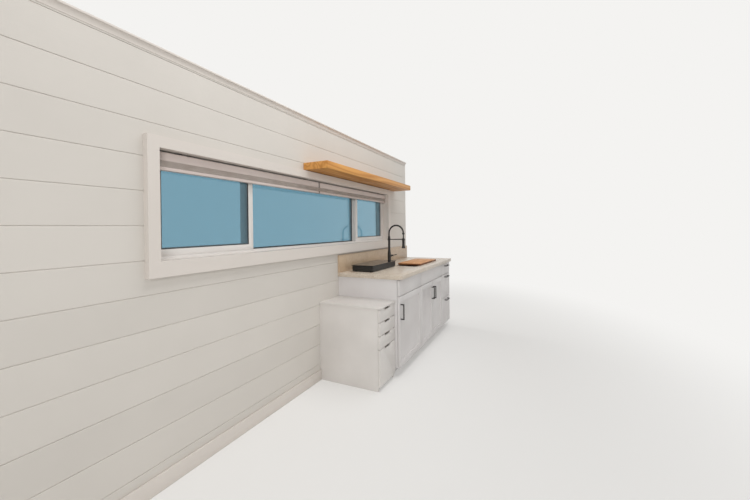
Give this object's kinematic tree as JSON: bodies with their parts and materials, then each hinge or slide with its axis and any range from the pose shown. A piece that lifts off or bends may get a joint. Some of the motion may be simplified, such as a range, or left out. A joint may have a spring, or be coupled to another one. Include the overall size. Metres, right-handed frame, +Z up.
{
  "type": "tiny house side wall with strip window and fitted kitchenette",
  "caption": "Side wall of a tiny house with a strip window, floating shelf, base cabinets, sink with spring tap, hob and a low drawer unit.",
  "frame": {"origin": "on the floor, under the middle of the wall's thickness and length", "axes": "+X along the wall to the kitchen end, the room on the -Y side, +Z up"},
  "size_m": [4.88, 0.83, 2.29],
  "materials": {
    "framing_timber": "sawn",
    "painted_boards": "satin paint",
    "outer_boards": "matt paint",
    "dark_trim": "satin",
    "white_trim": "satin paint",
    "window_vinyl": "satin",
    "window_glass": "clear",
    "blind_rail": "satin",
    "blind_fabric": "woven",
    "pine": "clear varnish",
    "cabinet_white": "satin paint",
    "worktop": "satin",
    "upstand": "satin",
    "sink_steel": "brushed",
    "board_wood": "oiled",
    "hob_black": "gloss",
    "black_metal": "matt",
    "low_unit_white": "satin paint"
  },
  "bodies": {
    "wall": {"wall_plates": "framing_timber", "wall_studs": "framing_timber", "inner_lining": "painted_boards", "outer_cladding": "outer_boards", "outer_trim": "dark_trim", "jamb_liner": "white_trim", "casing_rails": "white_trim", "casing_sides": "white_trim", "window_frame": "window_vinyl", "sliding_sashes": "window_vinyl", "window_glass": "window_glass", "blind_rails": "blind_rail", "blind_pleats": "blind_fabric", "crown_trim": "white_trim", "baseboard": "white_trim", "floating_shelf": "pine", "hob_cabinet": "cabinet_white", "sink_cabinet": "cabinet_white", "drawer_cabinet": "cabinet_white", "toe_kick": "cabinet_white", "false_fronts": "cabinet_white", "worktop": "worktop", "upstand": "upstand", "sink_bowl": "sink_steel", "sink_board": "board_wood", "hob": "hob_black", "low_unit_cabinet": "low_unit_white", "low_unit_top": "low_unit_white", "tap_body": "black_metal"},
    "tap_spout": {"tap_spout": "black_metal", "tap_spring": "black_metal"},
    "tap_lever": {"tap_lever": "black_metal"},
    "hob_door": {"hob_door": "cabinet_white", "hob_door_pull": "black_metal"},
    "sink_door_left": {"sink_door_left": "cabinet_white", "sink_door_left_pull": "black_metal"},
    "sink_door_right": {"sink_door_right": "cabinet_white", "sink_door_right_pull": "black_metal"},
    "stack_drawer_1": {"stack_drawer_1": "cabinet_white", "stack_pull_1": "black_metal"},
    "stack_drawer_2": {"stack_drawer_2": "cabinet_white", "stack_pull_2": "black_metal"},
    "stack_drawer_3": {"stack_drawer_3": "cabinet_white", "stack_pull_3": "black_metal"},
    "low_drawer_1": {"low_drawer_1": "low_unit_white"},
    "low_drawer_2": {"low_drawer_2": "low_unit_white"},
    "low_drawer_3": {"low_drawer_3": "low_unit_white"},
    "low_drawer_4": {"low_drawer_4": "low_unit_white"}
  },
  "joints": [
    {"name": "hob_door_hinge", "type": "hinge", "parent": "wall", "child": "hob_door", "pos_m": [1.2115, -0.705, 0.4], "axis": [0, 0, 1], "range_deg": [0, 95]},
    {"name": "sink_door_left_hinge", "type": "hinge", "parent": "wall", "child": "sink_door_left", "pos_m": [1.2165, -0.705, 0.4], "axis": [0, 0, 1], "range_deg": [-95, 0]},
    {"name": "sink_door_right_hinge", "type": "hinge", "parent": "wall", "child": "sink_door_right", "pos_m": [2.0495, -0.705, 0.4], "axis": [0, 0, 1], "range_deg": [0, 95]},
    {"name": "stack_drawer_1_slide", "type": "slide", "parent": "wall", "child": "stack_drawer_1", "axis": [0, 1, 0], "range_m": [-0.4, 0]},
    {"name": "stack_drawer_2_slide", "type": "slide", "parent": "wall", "child": "stack_drawer_2", "axis": [0, 1, 0], "range_m": [-0.4, 0]},
    {"name": "stack_drawer_3_slide", "type": "slide", "parent": "wall", "child": "stack_drawer_3", "axis": [0, 1, 0], "range_m": [-0.4, 0]},
    {"name": "low_drawer_1_slide", "type": "slide", "parent": "wall", "child": "low_drawer_1", "axis": [0, 1, 0], "range_m": [-0.36, 0]},
    {"name": "low_drawer_2_slide", "type": "slide", "parent": "wall", "child": "low_drawer_2", "axis": [0, 1, 0], "range_m": [-0.36, 0]},
    {"name": "low_drawer_3_slide", "type": "slide", "parent": "wall", "child": "low_drawer_3", "axis": [0, 1, 0], "range_m": [-0.36, 0]},
    {"name": "low_drawer_4_slide", "type": "slide", "parent": "wall", "child": "low_drawer_4", "axis": [0, 1, 0], "range_m": [-0.36, 0]},
    {"name": "tap_swivel", "type": "hinge", "parent": "wall", "child": "tap_spout", "pos_m": [1.54, -0.2, 1.1], "axis": [0, 0, 1], "range_deg": [-90, 90]},
    {"name": "tap_lever_lift", "type": "hinge", "parent": "wall", "child": "tap_lever", "pos_m": [1.5783, -0.2, 1.004], "axis": [-1, 0, 0], "range_deg": [0, 60]}
  ]
}
